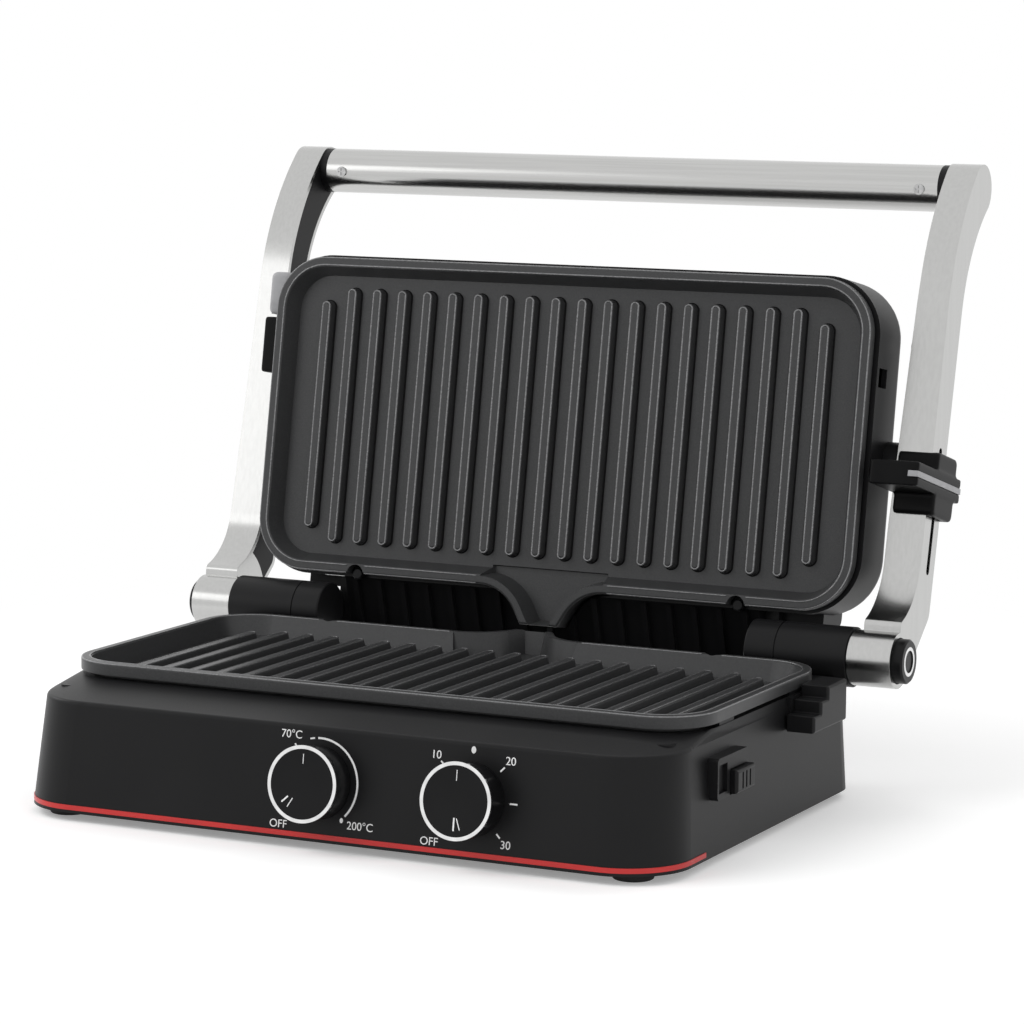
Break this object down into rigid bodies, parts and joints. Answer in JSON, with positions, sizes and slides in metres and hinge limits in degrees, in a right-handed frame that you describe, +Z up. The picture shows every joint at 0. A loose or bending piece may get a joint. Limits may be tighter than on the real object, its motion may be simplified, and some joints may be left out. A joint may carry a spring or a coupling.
{
  "type": "contact grill",
  "caption": "Open contact grill and waffle-style press: ribbed plates in base and lid, bent arms with a bar handle, two dials, hinge release and height stop",
  "frame": {"origin": "on the table surface under the middle of the open appliance's bounding box", "axes": "+X to the right seen from the control panel, +Y from the panel to the hinge, +Z up"},
  "size_m": [0.378, 0.3414, 0.2897],
  "materials": {
    "black_shell": "satin black heat-resistant moulding",
    "black_control": "smooth satin black moulding",
    "grill_coating": "dark grey non-stick coated casting",
    "brushed_aluminium": "fine brushed bright aluminium",
    "bright_ring": "polished ring",
    "grey_stripe": "mid grey stripe",
    "red_trim": "bright red strip",
    "foot_rubber": "soft black rubber",
    "steel": "plain zinc-plated steel",
    "reflector_sheet": "pressed aluminium sheet",
    "element_sheath": "heat-darkened steel sheath",
    "ceramic": "off-white ceramic",
    "control_casing": "brown moulded control body",
    "wire_sleeve": "white glass-fibre sleeve"
  },
  "bodies": {
    "base": {"base_housing": "black_shell", "base_cover": "black_shell", "red_trim": "red_trim", "feet": "foot_rubber", "base_screws": "steel", "height_catch": "black_shell", "cord_gland": "black_shell", "hinge_barrel_left": "black_shell", "hinge_barrel_right": "black_shell", "hinge_pins": "steel", "lower_reflector": "reflector_sheet", "lower_heating_element": "element_sheath", "lower_element_supports": "ceramic", "lower_reflector_screws": "steel", "thermostat": "control_casing", "timer_unit": "control_casing", "terminal_block": "ceramic", "base_wiring": "wire_sleeve", "lower_release_spring": "steel"},
    "drip_tray": {"drip_tray": "reflector_sheet"},
    "lower_plate": {"lower_grill_plate": "grill_coating"},
    "lower_release": {"lower_release_button": "black_control"},
    "temperature_dial": {"temperature_knob": "black_control", "temperature_knob_ring": "bright_ring", "temperature_shaft": "steel"},
    "timer_dial": {"timer_knob": "black_control", "timer_knob_ring": "bright_ring", "timer_shaft": "steel"},
    "handle_frame": {"arm_left": "brushed_aluminium", "arm_right": "brushed_aluminium", "arm_lining_left": "black_shell", "arm_lining_right": "black_shell", "handle_tube": "brushed_aluminium", "handle_plugs": "black_shell", "handle_screws": "steel", "lining_screws": "steel", "hinge_button_spring": "steel", "hinge_cap": "black_shell"},
    "height_lock": {"height_slider": "black_control", "slider_stripe": "grey_stripe"},
    "hinge_release": {"hinge_release_button": "black_control", "hinge_button_ring": "bright_ring"},
    "lid": {"lid_housing": "black_shell", "lid_rear_cover": "black_shell", "lid_cover_end_left": "black_shell", "lid_cover_end_right": "black_shell", "lid_frame": "black_shell", "upper_reflector": "reflector_sheet", "upper_heating_element": "element_sheath", "upper_element_supports": "ceramic", "upper_reflector_screws": "steel", "lid_pivot_pins": "steel", "upper_release_spring": "steel"},
    "upper_plate": {"upper_grill_plate": "grill_coating"},
    "upper_release": {"upper_release_button": "black_control"}
  },
  "joints": [
    {"name": "lid_hinge", "type": "hinge", "parent": "base", "child": "handle_frame", "pos_m": [0, 0.05625, 0.066], "axis": [-1, 0, 0], "range_deg": [-100, 77]},
    {"name": "lid_tilt", "type": "hinge", "parent": "handle_frame", "child": "lid", "pos_m": [0, 0.1049, 0.15186], "axis": [1, 0, 0], "range_deg": [0, 4]},
    {"name": "height_slide", "type": "slide", "parent": "handle_frame", "child": "height_lock", "axis": [0, -0.2531, -0.9674], "range_m": [0, 0.026]},
    {"name": "hinge_press", "type": "slide", "parent": "handle_frame", "child": "hinge_release", "axis": [-1, 0, 0], "range_m": [0, 0.004], "stiffness_N_per_m": 400, "deforming": ["hinge_button_spring"]},
    {"name": "lower_release_press", "type": "slide", "parent": "base", "child": "lower_release", "axis": [-1, 0, 0], "range_m": [0, 0.004], "stiffness_N_per_m": 400, "deforming": ["lower_release_spring"]},
    {"name": "upper_release_press", "type": "slide", "parent": "lid", "child": "upper_release", "axis": [1, 0, 0], "range_m": [0, 0.003], "stiffness_N_per_m": 400, "deforming": ["upper_release_spring"]},
    {"name": "temperature_turn", "type": "hinge", "parent": "base", "child": "temperature_dial", "pos_m": [-0.0035, -0.15394, 0.0295], "axis": [0, 0.9901, -0.1403], "range_deg": [0, 270]},
    {"name": "timer_turn", "type": "hinge", "parent": "base", "child": "timer_dial", "pos_m": [0.0705, -0.15394, 0.0295], "axis": [0, 0.9901, -0.1403], "range_deg": [0, 270]},
    {"name": "lower_plate_lift", "type": "slide", "parent": "base", "child": "lower_plate", "axis": [0, 0, 1], "range_m": [0, 0.03]},
    {"name": "upper_plate_lift", "type": "slide", "parent": "lid", "child": "upper_plate", "axis": [0, -0.9848, 0.1736], "range_m": [0, 0.012]},
    {"name": "tray_slide", "type": "slide", "parent": "base", "child": "drip_tray", "axis": [0, -1, 0], "range_m": [-0.06, 0]}
  ]
}
